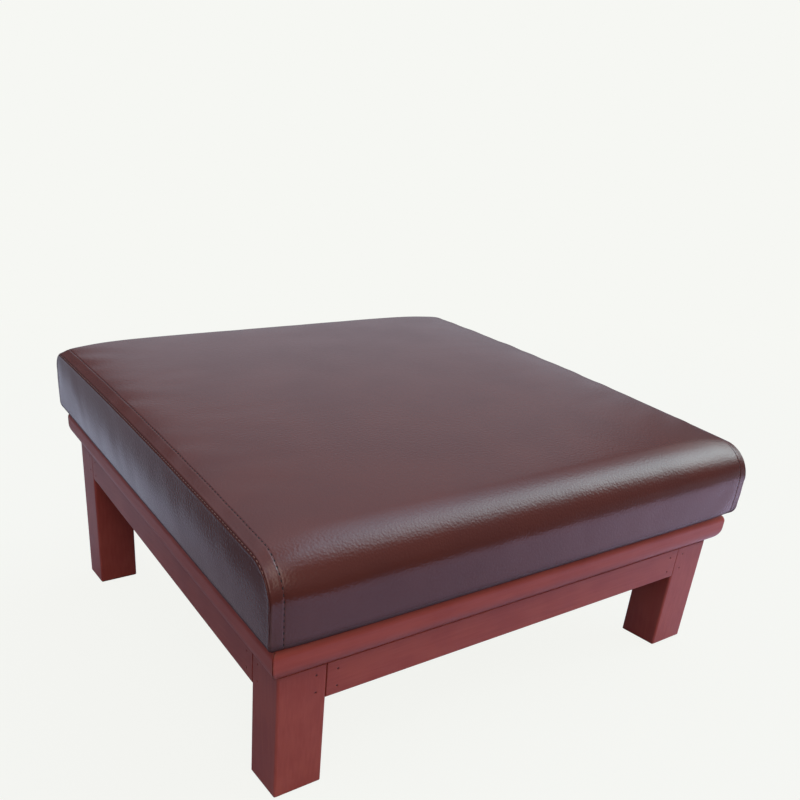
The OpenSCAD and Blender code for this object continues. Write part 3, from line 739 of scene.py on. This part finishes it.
def coatedLeather():
    # PU-coated split leather, embossed with a fine grain and glazed: a dark brown with broad soft
    # reflections whose edges break up on the pebbles
    sizes = leatherSizes
    material, tree, place = newMaterial("coated leather, embossed and glazed")
    pebbles = addNode(tree, "TexVoronoi", {"Vector": place, "Scale": 1 / (sizes["grain"] * mm),
                                           "Smoothness": 0.6}, out="Distance", feature="SMOOTH_F1")
    patchy = addNode(tree, "TexNoise", {"Vector": place, "Scale": 1 / (sizes["patch"] * mm), "Detail": 3.0})
    fine = addNode(tree, "TexNoise", {"Vector": place, "Scale": 1 / (sizes["fine"] * mm), "Detail": 2.0})
    share = addNode(tree, "MapRange", (patchy, 0.3, 0.7), **smooth)
    colour = addNode(tree, "MixRGB", (share, linear(sizes["colour"]), linear(sizes["deep"])))
    relief = addNode(tree, "Math", (fine, sizes["fineShare"]), operation="MULTIPLY")
    relief = addNode(tree, "Math", (relief, pebbles), operation="SUBTRACT")
    bump = addNode(tree, "Bump", {"Height": relief, "Strength": 1.0, "Distance": sizes["grainDepth"] * mm})
    roughness = addNode(tree, "MapRange", (patchy, 0.3, 0.7, *sizes["roughness"]), **smooth)
    # height over the rim, square to the seat
    y, z = (addNode(tree, "SeparateXYZ", (place,), out=axis) for axis in "YZ")
    rise = addNode(tree, "Math", (z, math.cos(tilt)), operation="MULTIPLY")
    fall = addNode(tree, "Math", (y, math.sin(tilt)), operation="MULTIPLY")
    height = addNode(tree, "Math", (rise, fall), operation="SUBTRACT")
    rim = mm * (cushionSizes["base"] + seatLift * math.cos(tilt) - seatShift * math.sin(tilt))
    edge = [rim + mm * h for h in sizes["dulled"]]
    glaze = addNode(tree, "MapRange", (height, *edge, *sizes["glaze"]), **smooth)
    dull = addNode(tree, "MapRange", (height, *edge, sizes["dullRoughness"], 0.0), **smooth)
    roughness = addNode(tree, "Math", (roughness, dull), operation="MAXIMUM")
    # painted shade: the turned-under edge is darkened where it tucks against the rim
    rimShadeShare = addNode(tree, "MapRange", (height, *edge, sizes["rimShadeShare"], 0.0), **smooth)
    colour = addNode(tree, "MixRGB", (rimShadeShare, colour, linear(sizes["rimContactShade"])))
    shader = addNode(tree, "BsdfPrincipled", {"Base Color": colour, "Roughness": roughness, "Normal": bump,
                                              "Specular IOR Level": glaze, "IOR": 1.5})
    addNode(tree, "OutputMaterial", (shader,))
    return material


paintSizes = dict(
    frame=("#a4473b", "#b25446"),      # darker and lighter patches on legs and aprons
    rim=("#ad4b3e", "#b95649"),        # and on the rim: a little lighter, as painted light, since its faces catch more light
    worn="#bd7a6a",
    streak=2.2, edge=1.2, patch=45.0, spot=6.0, brushed=0.15,    # mm
    drawn=0.05,              # how much slower the streaks change along the grain
    rubbed=0.6,              # share of the worn colour on the barest edges
    roughness=0.45,
)


def satinPaint(axis, hexColour, lightHex):
    # Brick-red satin paint brushed on solid hardwood: the grain still shows faintly along the
    # piece, and the paint is thin and rubbed on the edges
    sizes = paintSizes
    material, tree, place = newMaterial("satin paint brushed on hardwood along " + axis)
    along = tuple(sizes["drawn"] if own == axis else 1.0 for own in "xyz")
    drawn = addNode(tree, "Mapping", {"Vector": place, "Scale": along})
    streaks = addNode(tree, "TexNoise", {"Vector": drawn, "Scale": 1 / (sizes["streak"] * mm), "Detail": 4.0})
    patchy = addNode(tree, "TexNoise", {"Vector": place, "Scale": 1 / (sizes["patch"] * mm), "Detail": 3.0})
    mixed = addNode(tree, "MixRGB", (0.6, streaks, patchy))
    share = addNode(tree, "MapRange", (mixed, 0.35, 0.65), **smooth)
    colour = addNode(tree, "MixRGB", (share, linear(hexColour), linear(lightHex)))
    # an edge is where the rounded normal leaves the flat one
    rounded = addNode(tree, "Bevel", {"Radius": sizes["edge"] * mm}, samples=6)
    flat = addNode(tree, "NewGeometry", out="Normal")
    same = addNode(tree, "VectorMath", (rounded, flat), out="Value", operation="DOT_PRODUCT")
    rubbed = addNode(tree, "MapRange", (same, 0.97, 0.80, 0.0, sizes["rubbed"]), **smooth)
    spots = addNode(tree, "TexNoise", {"Vector": place, "Scale": 1 / (sizes["spot"] * mm), "Detail": 3.0})
    spots = addNode(tree, "MapRange", (spots, 0.45, 0.65), **smooth)
    rubbed = addNode(tree, "Math", (rubbed, spots), operation="MULTIPLY")
    colour = addNode(tree, "MixRGB", (rubbed, colour, linear(sizes["worn"])))
    bump = addNode(tree, "Bump", {"Height": streaks, "Strength": 0.2, "Distance": sizes["brushed"] * mm,
                                  "Normal": rounded})
    shader = addNode(tree, "BsdfPrincipled", {"Base Color": colour, "Roughness": sizes["roughness"],
                                              "Normal": bump})
    addNode(tree, "OutputMaterial", (shader,))
    return material


def plainFinish(name, hexColour, otherHex, size, roughness, metallic=0.0, height=0.05):
    # Finish with a fine mottled colour and a matching relief, size being the mottling in mm
    material, tree, place = newMaterial(name)
    mottle = addNode(tree, "TexNoise", {"Vector": place, "Scale": 1 / (size * mm), "Detail": 3.0})
    share = addNode(tree, "MapRange", (mottle, 0.35, 0.65), **smooth)
    colour = addNode(tree, "MixRGB", (share, linear(hexColour), linear(otherHex)))
    bump = addNode(tree, "Bump", {"Height": mottle, "Strength": 0.4, "Distance": height * mm})
    shader = addNode(tree, "BsdfPrincipled", {"Base Color": colour, "Roughness": roughness,
                                              "Metallic": metallic, "Normal": bump})
    addNode(tree, "OutputMaterial", (shader,))
    return material


def plywoodFinish():
    # Sanded plywood: long fine grain on the faces and thin layers on the edges
    material, tree, place = newMaterial("poplar plywood, sanded")
    drawn = addNode(tree, "Mapping", {"Vector": place, "Scale": (0.05, 1, 1)})
    grain = addNode(tree, "TexNoise", {"Vector": drawn, "Scale": 1 / (3 * mm), "Detail": 5.0})
    share = addNode(tree, "MapRange", (grain, 0.3, 0.7), **smooth)
    colour = addNode(tree, "MixRGB", (share, linear("#d8b98c"), linear("#bf9664")))
    bump = addNode(tree, "Bump", {"Height": grain, "Strength": 0.3, "Distance": 0.1 * mm})
    shader = addNode(tree, "BsdfPrincipled", {"Base Color": colour, "Roughness": 0.7, "Normal": bump})
    addNode(tree, "OutputMaterial", (shader,))
    return material


def dress(made, material):
    made.data.materials.clear()
    made.data.materials.append(material)


paints = {axis: satinPaint(axis, *paintSizes["frame"]) for axis in "xyz"}
# the rim's paint is the same as the frame's; its lighter colours are painted light
rimPaintsPaintedLight = {axis: satinPaint(axis, *paintSizes["rim"]) for axis in "xy"}
finishes = {
    "leg": paints["z"], "corner_blocks": paints["z"],
    "apron_front": paints["x"], "apron_back": paints["x"],
    "apron_left": paints["y"], "apron_right": paints["y"],
    "rim_front": rimPaintsPaintedLight["x"], "rim_back": rimPaintsPaintedLight["x"],
    "rim_left": rimPaintsPaintedLight["y"], "rim_right": rimPaintsPaintedLight["y"],
    # zinc-plated steel keeps a dull, slightly mottled shine
    "rim_screws": plainFinish("zinc-plated steel", "#b9bcbe", "#a2a6a9", 2, 0.35, metallic=1.0),
    # brad heads are painted over with the wood and given a dark colour, so they show as small dark dots
    "joint_brads": plainFinish("steel brads painted over", "#4b2220", "#3a1b1a", 1, 0.5),
    # beech dowel, turned: pale with short dark flecks
    "mitre_dowels": plainFinish("beech dowel, turned", "#d9b98f", "#c8a276", 3, 0.6),
    "seat_board": plywoodFinish(),
    # non-woven polypropylene cloth: a matt black felt-like web
    "dust_cloth": plainFinish("non-woven cloth, pressed", "#1d1d1f", "#2a2a2c", 1.2, 0.95, height=0.2),
}
finishes["board_screws"] = finishes["cover_staples"] = finishes["rim_screws"]
for start, material in finishes.items():
    for name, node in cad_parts.items():
        if name.startswith(start):
            dress(node, material)
dress(cushion, coatedLeather())
# bonded polyester thread, dyed to the leather: on top a shade lighter as painted glints, in the seam much
# lighter as a painted highlight where it catches the light
dress(topstitches, plainFinish("bonded polyester thread", "#6a3a38", "#5a2f2e", 0.5, 0.35))
dress(seamThread, plainFinish("bonded polyester thread in the seam", "#a17a6c", "#8b675a", 0.5, 0.4))
# painted shade: near-black beads stand in for the shade inside the needle holes
dress(needleHoleShade, plainFinish("needle holes in leather", "#120708", "#1a0b0c", 0.5, 0.8))
